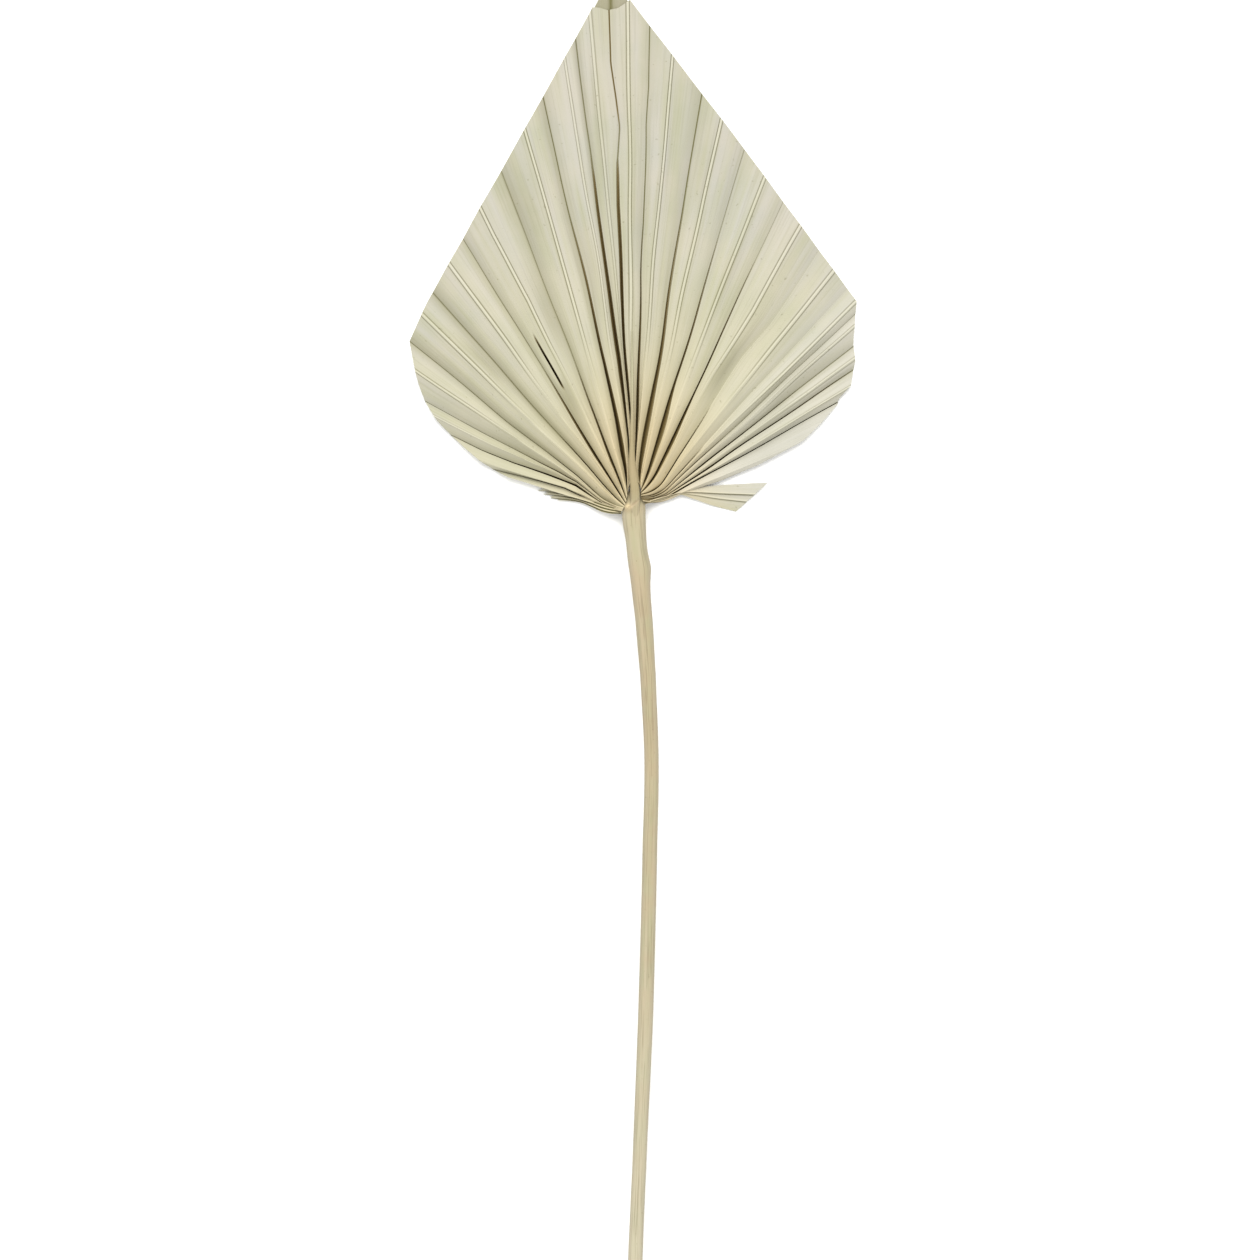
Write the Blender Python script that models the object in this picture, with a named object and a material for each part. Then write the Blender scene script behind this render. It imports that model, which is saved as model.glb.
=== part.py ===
"""A dried fan palm leaf, trimmed to a spear, lying face up on a flat surface.

Metres, +Z up. The stem points to -Y and the trimmed tip to +Y. The leaf's own frame is the
plan of the leaf seen from above, in millimetres, with (0, 0) where the stem meets the blade.
"""

import bisect
import math

import bmesh
import bpy
from mathutils import Matrix, Vector

MM = 0.001

# Overall plan, in millimetres in the leaf's own frame
JUNCTION_Y = 53.5  # from the middle of the whole leaf up to where stem and blade meet
TIP_Y = 209.0
BLADE_HALF_WIDTH = 89.8

# The trimmed outline, clockwise from the lowest left pleat over the tip to the lowest right one
OUTLINE = [
    (-30.0, 4.6), (-45.5, 8.0), (-61.2, 16.0), (-78.8, 32.0), (-86.6, 48.0),
    (-BLADE_HALF_WIDTH, 64.0), (-82.4, 80.0), (-14.0, 200.0), (-8.9, TIP_Y),
    (-2.0, 200.0), (42.0, 144.0), (BLADE_HALF_WIDTH, 80.0), (88.2, 64.0), (89.2, 56.0),
    (87.4, 46.0), (82.4, 39.6), (68.4, 24.0), (54.4, 16.0), (36.0, 8.2), (24.0, 5.4),
]

# Where each fold reaches the trimmed edge, as a bearing in degrees from the centre line,
# ridge and valley in turn, from the left edge (a ridge) to the right edge (a valley)
FOLDS = [
    -79.6, -77.4, -75.6, -70.2, -67.0, -64.4, -59.2, -54.5, -48.6, -43.9, -37.9, -33.0,
    -27.5, -21.8, -16.3, -12.6, -8.8, -7.1, -5.1, -2.45, -0.6, 2.0, 5.1, 9.6, 13.1, 17.6,
    22.2, 26.7, 31.4, 36.7, 41.2, 45.4, 48.3, 50.0, 51.8, 55.0, 57.4, 59.3, 62.4, 64.3, 71.0, 77.2,
]

# Pleats: depth from ridge to valley at a distance from the junction
PLEAT_DEPTHS = [(0.0, 3.4), (25.0, 5.6), (60.0, 5.8), (120.0, 4.6), (215.0, 3.6)]
FULL_FACET = 6.0  # degrees: a facet narrower than this makes a shallower pleat
LEAF_THICKNESS = 0.5
ROOT_THICKNESS = 1.1  # the folds are packed close together here
ROWS = 13  # bands of faces from the root to the trimmed edge
ROW_CROWDING = 1.7  # above 1 the bands are shorter near the root

# The blade's root is an arc round the stem's head
ROOT_CENTRE = (-0.4, 1.0)
ROOT_RADII = (5.4, 7.3)
ROOT_DROP_LEFT = 6.0
ROOT_DROP_RIGHT = 2.3
SPREAD = 0.35  # how much the side folds set off sideways before they turn up

# How the blade lies: the middle arches, the side corners touch the floor, the tip lifts
ARCH = 5.0
TIP_LIFT = 9.0

# Stem: y, x of its middle, full width, height of its underside
STEM_STATIONS = [
    (-316.0, 0.6, 5.8, 0.0), (-266.0, 2.6, 5.6, 0.5), (-202.0, 5.2, 6.0, 1.5),
    (-137.0, 6.8, 5.8, 2.5), (-104.0, 7.4, 5.7, 2.9), (-70.0, 6.0, 6.0, 3.2),
    (-49.0, 4.4, 6.8, 3.4), (-29.0, 2.9, 8.2, 3.6), (-18.0, 1.6, 8.5, 3.7),
    (-7.0, -0.9, 9.2, 3.8), (-1.0, -0.4, 8.0, 3.9), (3.6, -0.1, 6.2, 4.1), (7.4, 0.0, 2.6, 4.5),
]
STEM_HEIGHT_SHARE = 0.78  # of the width
STEM_HEAD_HEIGHT = 5.6  # the most that the stem is high
STEM_STEP = 9.0  # length of a band along the stem
STEM_SIDES = 14
CUT_SLANT = 0.35  # the lower end is cut at a slant: rise of the cut over the stem's width

# Strips that have split off: upper edge and lower edge, root first
TORN_UPPER = [(4.6, -1.0), (9.6, 0.0), (18.4, 2.8), (26.8, 5.0), (40.0, 6.3), (54.4, 6.8)]
TORN_LOWER = [(4.6, -2.2), (9.6, -1.2), (17.5, 1.2), (24.5, 0.4), (32.0, -2.8), (41.2, -4.4)]
TORN_RIDGES = [1.6, 3.0, 0.8, 2.6, 0.9, 2.2]  # height of each fold line across the strip
FRAYED_UPPER = [(-6.1, -4.9), (-14.0, -2.5), (-24.0, 0.7), (-34.5, 3.4)]
FRAYED_LOWER = [(-6.1, -6.3), (-14.0, -4.3), (-24.0, -1.7), (-32.5, 0.8)]
FRAYED_RIDGES = [1.0, 2.2, 0.9, 1.9]
STRIP_ROWS = 9


def curve_through(points, share):
    """A point of a smooth curve through the points; share runs from 0 to 1."""
    last = len(points) - 1
    place = min(max(share, 0.0), 1.0) * last
    first = min(int(place), last - 1)
    t = place - first
    p0, p1, p2, p3 = (points[min(max(first + k, 0), last)] for k in (-1, 0, 1, 2))
    out = []
    for a, b, c, d in zip(p0, p1, p2, p3):
        bend = (2 * a - 5 * b + 4 * c - d) * t + (3 * b - a - 3 * c + d) * t * t
        out.append(b + 0.5 * t * (c - a + bend))
    return out


def read_off(table, x):
    """The value at x of a table of (x, value) pairs, in straight lines between them."""
    xs = [row[0] for row in table]
    if x <= xs[0]:
        return table[0][1]
    if x >= xs[-1]:
        return table[-1][1]
    k = bisect.bisect_right(xs, x)
    (x0, v0), (x1, v1) = table[k - 1], table[k]
    return v0 + (v1 - v0) * (x - x0) / (x1 - x0)


def heading(bearing):
    """A unit vector at a bearing in degrees, 0 towards the tip and positive to the right."""
    angle = math.radians(bearing)
    return Vector((math.sin(angle), math.cos(angle)))


def trimmed_radius(bearing):
    """Distance from the junction to the trimmed outline at a bearing."""
    ray = heading(bearing)
    reach = 0.0
    for (ax, ay), (bx, by) in zip(OUTLINE, OUTLINE[1:]):
        a, side = Vector((ax, ay)), Vector((bx - ax, by - ay))
        across = ray.x * side.y - ray.y * side.x
        if abs(across) < 1e-9:
            continue
        along_ray = (a.x * side.y - a.y * side.x) / across
        along_side = (a.x * ray.y - a.y * ray.x) / across
        if -1e-6 <= along_side <= 1.0 + 1e-6:
            reach = max(reach, along_ray)
    return reach


def root_of(bearing):
    """Where the fold at this bearing starts, on the arc round the stem's head."""
    sine, cosine = heading(bearing)
    drop = ROOT_DROP_LEFT if bearing < 0 else ROOT_DROP_RIGHT
    return Vector((
        ROOT_CENTRE[0] + ROOT_RADII[0] * sine,
        ROOT_CENTRE[1] + ROOT_RADII[1] * cosine - drop * sine * sine,
    ))


def along_fold(bearing, share):
    """The plan position at a share of the way from root to trimmed edge along a fold."""
    root = root_of(bearing)
    end = heading(bearing) * trimmed_radius(bearing)
    straight = end - root
    start = math.degrees(math.atan2(straight.x, straight.y))
    start *= 1.0 + SPREAD * math.sin(math.radians(bearing)) ** 2
    start = max(-88.0, min(88.0, start))
    pull = root + heading(start) * straight.length * 0.22
    rest = 1.0 - share
    return root * rest * rest + pull * 2 * rest * share + end * share * share


def lie(x, y):
    """Height of the valleys above the floor at a place of the blade."""
    side = min(1.0, abs(x) / BLADE_HALF_WIDTH)
    up = max(0.0, y / TIP_Y)
    return ARCH * (1.0 - side * side) + TIP_LIFT * up ** 3 * (1.0 - side)


def pleat_depth(fold, x, y):
    """Height of a ridge above its neighbour valleys."""
    low, high = max(fold - 1, 0), min(fold + 1, len(FOLDS) - 1)
    width = (FOLDS[high] - FOLDS[low]) / (high - low)
    share = min(1.0, width / FULL_FACET) ** 0.5
    return read_off(PLEAT_DEPTHS, math.hypot(x, y)) * share


def finish_sheet(name, bm, colour, roughness):
    """Gives a bmesh of a closed piece its object, its place in the whole leaf and its material."""
    bmesh.ops.recalc_face_normals(bm, faces=bm.faces)
    bmesh.ops.transform(bm, matrix=placing(), verts=bm.verts)
    mesh = bpy.data.meshes.new(name)
    bm.to_mesh(mesh)
    bm.free()
    piece = bpy.data.objects.new(name, mesh)
    bpy.context.collection.objects.link(piece)
    mesh.materials.append(finish(name + "_finish", colour, roughness))
    return piece


def placing():
    """From the leaf's own millimetres to metres about the middle of the whole leaf."""
    return Matrix.Scale(MM, 4) @ Matrix.Translation((0.0, JUNCTION_Y, 0.0))


def finish(name, colour, roughness):
    material = bpy.data.materials.new(name)
    material.use_nodes = True
    shader = material.node_tree.nodes["Principled BSDF"]
    shader.inputs["Base Color"].default_value = (*colour, 1.0)
    shader.inputs["Roughness"].default_value = roughness
    shader.inputs["Metallic"].default_value = 0.0
    return material


def thicken_down(bm, thickness):
    """Turns an open sheet into a closed one by copying it straight down."""
    made = bmesh.ops.extrude_face_region(bm, geom=bm.faces[:])
    for item in made["geom"]:
        if isinstance(item, bmesh.types.BMVert):
            item.co.z -= thickness(item.co)


def grid(columns, rows):
    """A bmesh grid and its vertices with their column number and row share."""
    bm = bmesh.new()
    bmesh.ops.create_grid(bm, x_segments=columns, y_segments=rows, size=1.0)
    places = []
    for vert in bm.verts:
        column = round((vert.co.x + 1.0) / 2.0 * columns)
        places.append((vert, column, (vert.co.y + 1.0) / 2.0))
    return bm, places


def blade():
    bm, places = grid(len(FOLDS) - 1, ROWS)
    for vert, fold, row in places:
        x, y = along_fold(FOLDS[fold], row ** ROW_CROWDING)
        z = lie(x, y) + LEAF_THICKNESS
        if fold % 2 == 0:
            z += pleat_depth(fold, x, y)
        vert.co = (x, y, z)
    thicken_down(bm, blade_wall)
    return finish_sheet("blade", bm, (0.66, 0.62, 0.47), 0.72)


def blade_wall(place):
    near = max(0.0, 1.0 - math.hypot(place.x, place.y) / 40.0)
    return LEAF_THICKNESS + (ROOT_THICKNESS - LEAF_THICKNESS) * near


def strip(name, upper, lower, ridges, root_lift, colour):
    """A split-off strip of the blade, its folds fanning out between its two edges."""
    bm, places = grid(len(ridges) - 1, STRIP_ROWS)
    for vert, fold, row in places:
        across = fold / (len(ridges) - 1)
        ax, ay = curve_through(upper, row)
        bx, by = curve_through(lower, row)
        lift = root_lift * (1.0 - row) ** 2
        fold_height = ridges[fold] * (0.45 + 0.55 * row)
        low = min(ridges) * (0.45 + 0.55 * row)
        vert.co = (
            ax + (bx - ax) * across,
            ay + (by - ay) * across,
            LEAF_THICKNESS + lift + fold_height - low,
        )
    thicken_down(bm, lambda place: LEAF_THICKNESS)
    return finish_sheet(name, bm, colour, 0.72)


def stem():
    """A rounded, slightly flattened stalk whose head runs up into the blade's root."""
    length = STEM_STATIONS[-1][0] - STEM_STATIONS[0][0]
    bands = round(length / STEM_STEP)
    bm = bmesh.new()
    rings = []
    for band in range(bands + 1):
        y, x, width, low = curve_through(STEM_STATIONS, station_share(band / bands))
        height = min(width * STEM_HEIGHT_SHARE, STEM_HEAD_HEIGHT)
        ring = bmesh.ops.create_circle(bm, segments=STEM_SIDES, radius=1.0)["verts"]
        for vert in ring:
            across, up = vert.co.x, vert.co.y
            # The upper face of the stalk is flatter than its underside
            up = up * 0.8 if up > 0 else up
            slant = CUT_SLANT * (1.0 - across) * width / 2 if band == 0 else 0.0
            vert.co = (
                x + across * width / 2,
                y + slant,
                low + (up + 1.0) * height / 1.8,
            )
        rings.append(ring)
    for ring, following in zip(rings, rings[1:]):
        edges = edges_of(ring) + edges_of(following)
        bmesh.ops.bridge_loops(bm, edges=edges)
    for ring in (rings[0], rings[-1]):
        bmesh.ops.contextual_create(bm, geom=edges_of(ring))
    piece = finish_sheet("stem", bm, (0.61, 0.54, 0.35), 0.6)
    piece.data.shade_smooth()
    piece.data.set_sharp_from_angle(angle=math.radians(40.0))
    return piece


def station_share(share):
    """Share along the list of stations whose y is this share of the stem's length."""
    first, last = STEM_STATIONS[0][0], STEM_STATIONS[-1][0]
    target = first + (last - first) * share
    steps = len(STEM_STATIONS) - 1
    for k in range(steps):
        below, above = STEM_STATIONS[k][0], STEM_STATIONS[k + 1][0]
        if target <= above:
            return (k + (target - below) / (above - below)) / steps
    return 1.0


def edges_of(ring):
    """The edges of a ring of vertices that lie wholly on it."""
    on_ring = set(ring)
    return list({e for v in ring for e in v.link_edges if e.other_vert(v) in on_ring})


def main():
    for leftover in list(bpy.data.objects):
        bpy.data.objects.remove(leftover, do_unlink=True)
    stem()
    blade()
    strip("torn_segment", TORN_UPPER, TORN_LOWER, TORN_RIDGES, 4.6, (0.68, 0.64, 0.5))
    strip("frayed_segment", FRAYED_UPPER, FRAYED_LOWER, FRAYED_RIDGES, 4.6, (0.6, 0.55, 0.4))


main()
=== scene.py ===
import math

import bmesh
import bpy
from mathutils import Matrix, Vector, noise


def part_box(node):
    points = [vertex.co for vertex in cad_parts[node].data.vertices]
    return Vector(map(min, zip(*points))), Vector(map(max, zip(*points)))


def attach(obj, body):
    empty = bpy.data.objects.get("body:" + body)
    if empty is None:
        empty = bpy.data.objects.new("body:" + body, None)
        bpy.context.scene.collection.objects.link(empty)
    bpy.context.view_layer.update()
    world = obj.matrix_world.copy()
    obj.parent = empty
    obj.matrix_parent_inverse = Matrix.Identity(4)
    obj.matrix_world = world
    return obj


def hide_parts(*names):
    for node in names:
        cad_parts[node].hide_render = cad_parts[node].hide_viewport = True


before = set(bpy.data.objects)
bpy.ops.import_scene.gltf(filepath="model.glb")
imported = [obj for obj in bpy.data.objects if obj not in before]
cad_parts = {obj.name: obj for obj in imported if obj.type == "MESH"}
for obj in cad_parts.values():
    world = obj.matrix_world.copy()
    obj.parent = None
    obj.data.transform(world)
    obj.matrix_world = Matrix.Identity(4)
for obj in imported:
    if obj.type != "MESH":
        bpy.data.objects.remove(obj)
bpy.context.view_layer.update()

print("frame loaded:", sorted(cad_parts))

# Shapes are in millimetres on the leaf's own plan: x to the right, y towards the tip, z up
# from the floor, with (0, 0) where the stem meets the blade. finishPiece puts them in metres.
mm = 0.001
bladeTipY = 209.0
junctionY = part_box("blade")[1].y / mm - bladeTipY
placing = Matrix.Scale(mm, 4) @ Matrix.Translation((0.0, junctionY, 0.0))


def readOff(table, x):
    # straight lines between the table's points, level beyond its ends
    if x <= table[0][0]:
        return table[0][1]
    for (x0, v0), (x1, v1) in zip(table, table[1:]):
        if x <= x1:
            return v0 + (v1 - v0) * (x - x0) / (x1 - x0)
    return table[-1][1]


def clamp(x, low=0.0, high=1.0):
    return max(low, min(high, x))


def mix(a, b, share):
    return a + (b - a) * share


def ease(low, high, x):
    t = clamp((x - low) / (high - low))
    return t * t * (3.0 - 2.0 * t)


def heading(bearing):
    angle = math.radians(bearing)
    return Vector((math.sin(angle), math.cos(angle)))


def curveThrough(points, share):
    # a smooth curve through all the points, at a share of the way along them
    last = len(points) - 1
    place = clamp(share) * last
    first = min(int(place), last - 1)
    t = place - first
    p0, p1, p2, p3 = (points[int(clamp(first + k, 0, last))] for k in (-1, 0, 1, 2))
    out = []
    for a, b, c, d in zip(p0, p1, p2, p3):
        bend = (2 * a - 5 * b + 4 * c - d) * t + (3 * b - a - 3 * c + d) * t * t
        out.append(b + 0.5 * t * (c - a + bend))
    return out


def wander(x, y, z=0.0):
    return noise.noise(Vector((x, y, z)))


def tint(code):
    # a six-digit colour code as the linear colour that shaders take
    out = []
    for k in (0, 2, 4):
        c = int(code[k:k + 2], 16) / 255
        out.append(c / 12.92 if c <= 0.04045 else ((c + 0.055) / 1.055) ** 2.4)
    return (*out, 1.0)


def nodeMaker(tree):
    def make(kind, inputs=None, **settings):
        node = tree.nodes.new(kind)
        for key, value in settings.items():
            setattr(node, key, value)
        for key, value in (inputs or {}).items():
            if isinstance(value, bpy.types.NodeSocket):
                tree.links.new(value, node.inputs[key])
            else:
                node.inputs[key].default_value = value
        return node
    return make


def sums(make):
    def run(operation, a, b=0.0, clampIt=False):
        node = make("ShaderNodeMath", {0: a, 1: b}, operation=operation, use_clamp=clampIt)
        return node.outputs[0]
    return run


def blendColour(make, factor, a, b, mode="MIX"):
    node = make("ShaderNodeMix", data_type="RGBA", blend_type=mode, clamp_factor=True)
    sockets = [s for s in node.inputs if s.enabled]
    for socket, value in zip(sockets, (factor, a, b)):
        if isinstance(value, bpy.types.NodeSocket):
            node.id_data.links.new(value, socket)
        else:
            socket.default_value = value
    return [s for s in node.outputs if s.enabled][0]


def spread(make, value, low, high, toLow=0.0, toHigh=1.0):
    node = make("ShaderNodeMapRange", {
        "Value": value, "From Min": low, "From Max": high, "To Min": toLow, "To Max": toHigh,
    })
    return node.outputs["Result"]


def newGroup(name, inputs, outputs):
    group = bpy.data.node_groups.new(name, "ShaderNodeTree")
    for label, kind, value in inputs:
        socket = group.interface.new_socket(label, in_out="INPUT", socket_type=kind)
        socket.default_value = value
    for label, kind in outputs:
        group.interface.new_socket(label, in_out="OUTPUT", socket_type=kind)
    return group, nodeMaker(group)


# Fine parallel veins. Across and Along are places on the surface, Along is the way they run.
def veinGroup():
    group, make = newGroup(
        "parallelVeins",
        [("Across", "NodeSocketFloat", 0.0), ("Along", "NodeSocketFloat", 0.0),
         ("Density", "NodeSocketFloat", 3.0), ("Stretch", "NodeSocketFloat", 0.02)],
        [("Vein", "NodeSocketFloat"), ("Streak", "NodeSocketFloat"), ("Height", "NodeSocketFloat")],
    )
    run = sums(make)
    given = make("NodeGroupInput").outputs
    across = run("MULTIPLY", given["Across"], given["Density"])
    along = run("MULTIPLY", given["Along"], given["Stretch"])
    fine = make("ShaderNodeTexNoise", {
        "Vector": make("ShaderNodeCombineXYZ", {"X": across, "Y": along}).outputs[0],
        "Scale": 1.0, "Detail": 3.0, "Roughness": 0.6,
    }, noise_dimensions="2D").outputs["Fac"]
    slow = run("MULTIPLY", across, 0.23)
    broad = make("ShaderNodeTexNoise", {
        "Vector": make("ShaderNodeCombineXYZ", {"X": slow, "Y": along, "Z": 3.7}).outputs[0],
        "Scale": 1.0, "Detail": 2.0, "Roughness": 0.5,
    }).outputs["Fac"]
    vein = spread(make, fine, 0.46, 0.36)
    height = run("MULTIPLY", run("ADD", fine, run("MULTIPLY", broad, 0.8)), 0.55)
    make("NodeGroupOutput", {
        "Vein": vein, "Streak": spread(make, broad, 0.35, 0.65), "Height": height,
    })
    return group


# Dry blotches, dust-fine grain and small dark specks on object coordinates.
def dryGroup():
    group, make = newGroup(
        "dryBlotches",
        [("Vector", "NodeSocketVector", (0.0, 0.0, 0.0)), ("Size", "NodeSocketFloat", 0.02)],
        [("Blotch", "NodeSocketFloat"), ("Speck", "NodeSocketFloat"), ("Grain", "NodeSocketFloat")],
    )
    run = sums(make)
    given = make("NodeGroupInput").outputs
    scale = run("DIVIDE", 1.0, given["Size"])
    blotch = make("ShaderNodeTexNoise", {
        "Vector": given["Vector"], "Scale": scale, "Detail": 3.0, "Roughness": 0.55,
    }).outputs["Fac"]
    speck = make("ShaderNodeTexNoise", {
        "Vector": given["Vector"], "Scale": run("MULTIPLY", scale, 14.0), "Detail": 1.0,
    }).outputs["Fac"]
    grain = make("ShaderNodeTexNoise", {
        "Vector": given["Vector"], "Scale": run("MULTIPLY", scale, 45.0), "Detail": 2.0,
    }).outputs["Fac"]
    make("NodeGroupOutput", {
        "Blotch": spread(make, blotch, 0.36, 0.64),
        "Speck": spread(make, speck, 0.72, 0.8),
        "Grain": grain,
    })
    return group


veinEffect = veinGroup()
dryEffect = dryGroup()
print("effects ready")


def startMaterial(name):
    material = bpy.data.materials.new(name)
    material.use_nodes = True
    tree = material.node_tree
    return material, tree.nodes["Principled BSDF"], nodeMaker(tree)


def fromMesh(make, labels):
    return [make("ShaderNodeAttribute", attribute_name=k).outputs["Fac"] for k in labels]


def veinsAndBlotches(make, look):
    across, along = fromMesh(make, ("across", "along"))
    veins = make("ShaderNodeGroup", {
        "Across": across, "Along": along,
        "Density": look["veinDensity"], "Stretch": look["veinStretch"],
    }, node_tree=veinEffect)
    dry = make("ShaderNodeGroup", {
        "Vector": make("ShaderNodeTexCoord").outputs["Object"], "Size": look["blotchSize"],
    }, node_tree=dryEffect)
    return veins.outputs, dry.outputs


def layOver(make, colour, mask, share, code):
    # lays a new colour over the one so far, as much as the mask times the share
    factor = sums(make)("MULTIPLY", mask, share)
    return blendColour(make, factor, colour, tint(code))


def finishSurface(make, shader, colour, veins, dry, look):
    run = sums(make)
    rough = run("ADD", look["roughness"], run("MULTIPLY", dry["Grain"], look["grainRough"]))
    relief = run("ADD", veins["Height"], run("MULTIPLY", dry["Grain"], look["grainRelief"]))
    bump = make("ShaderNodeBump", {
        "Strength": look["bumpStrength"], "Distance": look["bumpDepth"], "Height": relief,
    })
    links = shader.id_data.links
    links.new(colour, shader.inputs["Base Color"])
    links.new(rough, shader.inputs["Roughness"])
    links.new(bump.outputs["Normal"], shader.inputs["Normal"])
    shader.inputs["Specular IOR Level"].default_value = look["specular"]


# A Share or a Shade is how much of a colour is laid on, and a Reach is where it starts and
# where it is full.
bladeFinish = {
    "pale": "a4a297",
    "greenish": "9d9c86",
    "rosy": "a79f8f",
    "rosyShare": 0.45,
    "inner": "aeaa8d",
    "innerShare": 0.6,
    "innerReach": (125.0, 45.0),      # distances from the stem
    "greyPale": "b0aea5",
    "greyBands": [(63.0, 66.5, 0.35), (40.0, 50.0, 0.4)],   # from bearing, to bearing, share
    "baseTan": "beac87",
    "tanShare": 0.8,
    "underside": "918b73",
    "undersideShare": 0.6,
    # cream for pale lines and painted highlights, olive for veins, clouds, specks and painted shade
    "ribCreamAndHighlight": "b9b6a0",
    "warmCreamAndHighlight": "c9b78e",
    "oliveAndShade": "5c5833",
    "veinShade": 0.1,
    "cloudShade": 0.07,
    "speckShade": 0.3,
    # painted shade of the deep gaps: its colour at the walls, then at the bottom
    "gapWallShade": "6a5b35",
    "gapWallShadeReach": (0.0, 0.45),      # how dark the painted shade in the gap is
    "gapDeepShade": "37290c",
    "gapDeepShadeReach": (0.4, 1.0),
    "veinDensity": 2.6,
    "veinStretch": 0.018,
    "blotchSize": 0.022,              # in metres, as the bump's depth is
    "roughness": 0.6,
    "grainRough": 0.25,
    "grainRelief": 0.35,
    "specular": 0.25,
    "bumpStrength": 0.35,
    "bumpDepth": 0.0003,
}


def paperFinish(name, look):
    material, shader, make = startMaterial(name)
    run = sums(make)
    across, along, tone = fromMesh(make, ("across", "along", "tone"))
    gapShade, under, warm = fromMesh(make, ("gapShade", "under", "warm"))
    veins, dry = veinsAndBlotches(make, look)

    colour = blendColour(make, veins["Streak"], tint(look["greenish"]), tint(look["pale"]))
    colour = layOver(make, colour, dry["Blotch"], look["rosyShare"], look["rosy"])
    nearness = spread(make, along, *look["innerReach"])
    colour = layOver(make, colour, nearness, look["innerShare"], look["inner"])
    greys = [run("MULTIPLY", spread(make, across, low, high), share)
             for low, high, share in look["greyBands"]]
    colour = blendColour(make, run("ADD", *greys), colour, tint(look["greyPale"]))
    colour = layOver(make, colour, warm, look["tanShare"], look["baseTan"])
    colour = layOver(make, colour, veins["Vein"], look["veinShade"], look["oliveAndShade"])
    colour = layOver(make, colour, under, look["undersideShare"], look["underside"])
    clouds = run("SUBTRACT", 1.0, dry["Blotch"])
    colour = layOver(make, colour, clouds, look["cloudShade"], look["oliveAndShade"])
    # the tone is above 0 on pale lines and painted highlights and below 0 in painted shade of the
    # folds and on darker patches
    creamAndHighlight = blendColour(make, warm, tint(look["ribCreamAndHighlight"]), tint(look["warmCreamAndHighlight"]))
    colour = blendColour(make, run("MULTIPLY", tone, 1.0, True), colour, creamAndHighlight)
    colour = blendColour(make, run("MULTIPLY", tone, -1.0, True), colour, tint(look["oliveAndShade"]))
    colour = layOver(make, colour, dry["Speck"], look["speckShade"], look["oliveAndShade"])
    # painted shade in the deep gaps between the folds
    for key in ("gapWallShade", "gapDeepShade"):
        mask = spread(make, gapShade, *look[key + "Reach"])
        colour = blendColour(make, mask, colour, tint(look[key]))
    finishSurface(make, shader, colour, veins, dry, look)
    return material


bladeShape = {
    "thickness": 0.35,
    "rows": 126,
    "hookRows": 16,           # of them, along the hook where a fold leaves the stem
    "rowCrowding": 1.25,      # above 1 the rows are closer near the stem
    "gatherRadius": 10.0,     # the folds gather on a circle of this radius
    "hookEnd": 6.0,           # from the gathering circle on, a fold is straight after this
    "lowFolds": 50.0,         # beyond this bearing the gaps close again near the stem
    "leftTurn": -13.0,        # left of this bearing the pleats lean the other way
    "arch": 5.0,
    "archAtBottom": 0.35,     # the share of the arch that is left at the bottom edge
    "tipLift": 9.0,
    "rootTop": 8.8,           # where the folds lie on the stem's head
    "rootSpread": 3.5,        # how far out they still ride up over its shoulders
    "waviness": 0.35,
    "clearance": 0.02,        # between the sheet and the floor
    "sway": 0.9,              # how far a fold wanders from straight
    "halfWidth": 89.8,
    "pleatDepth": [(0.0, 2.6), (20.0, 3.3), (55.0, 3.3), (90.0, 2.7), (130.0, 2.2), (215.0, 1.9)],
    "steepest": 0.6,          # a pleat is at most this much deeper than its facet is wide
    "fullFacet": 6.0,
    "facetTint": 0.09,        # no two facets have quite the same colour
    "tanCentre": (3.0, 14.0), # the leaf is tan around the stem's end
    "tanSpread": (24.0, 34.0),
}

# what a fold looks like close up
foldLook = {
    "ribWidth": 0.26,         # a rib is narrower where its facet is under 1 / this wide
    "ribLift": [(0.0, 0.26), (0.5, 0.2), (0.8, -0.2), (1.25, 0.0)],
    # the rib itself is pale, and the grooves beside it get painted shade
    "ribTone": [(0.0, 0.65), (0.5, 0.35), (0.8, -0.8), (1.25, 0.0)],
    "ribReach": (45.0, 85.0), # distances from the stem where the ribs start and are full
    "trench": 1.6,            # how deep a gap is cut below its valley
    "gapRim": 0.32,           # how dark a gap's painted shade is at its rim, against its bottom
    "gentleGap": (0.4, 0.25), # on the gentle side a gap keeps this share of its half width
                              # and of the facet
    "steepGap": (0.6, 0.78),  # the most of a steep facet that a gap takes, left and right
    "wallReach": (24.0, 52.0),    # where those right of the stem start to narrow, and stop
    "lowGap": 0.35,           # the same on the low folds
    "slitGap": 0.42,          # the same on the two slits
    "litEdge": 0.6,           # painted highlight on the edge of the leaf beside a gap
    "valleyShade": 0.45,
    "crestHighlight": 0.7,             # painted highlight on the crest of a ridge near the stem
    "crestHighlightReach": (14.0, 60.0),
    "pocketShade": 0.45,           # painted shade in the pockets where the folds hook into the stem, past this bearing
    "pocketShadeFrom": 12.0,       # this bearing
    "pocketShadeReach": (9.0, 15.0),
    "tipSplit": 0.9,
}

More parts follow.
